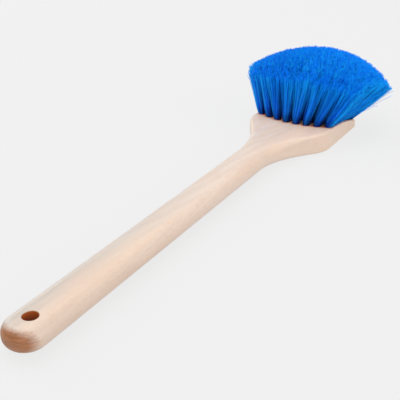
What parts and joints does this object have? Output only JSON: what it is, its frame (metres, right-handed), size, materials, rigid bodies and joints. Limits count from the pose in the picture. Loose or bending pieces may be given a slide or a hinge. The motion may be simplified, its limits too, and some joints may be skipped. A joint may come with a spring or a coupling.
{
  "type": "wheel brush",
  "caption": "Long-handled wheel brush: one-piece wooden block and handle with a hanging hole, and a forward-opening fan of filament tufts anchored in drilled holes.",
  "frame": {"origin": "middle of the head's flat back", "axes": "+X along the handle towards the nose of the head, +Z out of the tufted face, +Y across the head"},
  "size_m": [0.5371, 0.1434, 0.0818],
  "materials": {
    "block": "beech, sanded, thin clear lacquer",
    "bristle": "drawn filament, satin",
    "anchor": "drawn wire"
  },
  "bodies": {
    "root": {"handle_block": "block", "tuft_r1_c1": "bristle", "tuft_r1_c2": "bristle", "tuft_r1_c3": "bristle", "tuft_r1_c4": "bristle", "tuft_r1_c5": "bristle", "tuft_r1_c6": "bristle", "tuft_r1_c7": "bristle", "tuft_r1_c8": "bristle", "tuft_r2_c1": "bristle", "tuft_r2_c2": "bristle", "tuft_r2_c3": "bristle", "tuft_r2_c4": "bristle", "tuft_r2_c5": "bristle", "tuft_r2_c6": "bristle", "tuft_r2_c7": "bristle", "tuft_r2_c8": "bristle", "tuft_r3_c1": "bristle", "tuft_r3_c2": "bristle", "tuft_r3_c3": "bristle", "tuft_r3_c4": "bristle", "tuft_r3_c5": "bristle", "tuft_r3_c6": "bristle", "tuft_r3_c7": "bristle", "tuft_r3_c8": "bristle", "tuft_r4_c1": "bristle", "tuft_r4_c2": "bristle", "tuft_r4_c3": "bristle", "tuft_r4_c4": "bristle", "tuft_r4_c5": "bristle", "tuft_r4_c6": "bristle", "tuft_r4_c7": "bristle", "tuft_r4_c8": "bristle", "tuft_r5_c1": "bristle", "tuft_r5_c2": "bristle", "tuft_r5_c3": "bristle", "tuft_r5_c4": "bristle", "tuft_r5_c5": "bristle", "tuft_r5_c6": "bristle", "tuft_r5_c7": "bristle", "tuft_r5_c8": "bristle", "tuft_r6_c1": "bristle", "tuft_r6_c2": "bristle", "tuft_r6_c3": "bristle", "tuft_r6_c4": "bristle", "tuft_r6_c5": "bristle", "tuft_r6_c6": "bristle", "tuft_r6_c7": "bristle", "tuft_r6_c8": "bristle", "anchors_r1": "anchor", "anchors_r2": "anchor", "anchors_r3": "anchor", "anchors_r4": "anchor", "anchors_r5": "anchor", "anchors_r6": "anchor"}
  },
  "joints": []
}
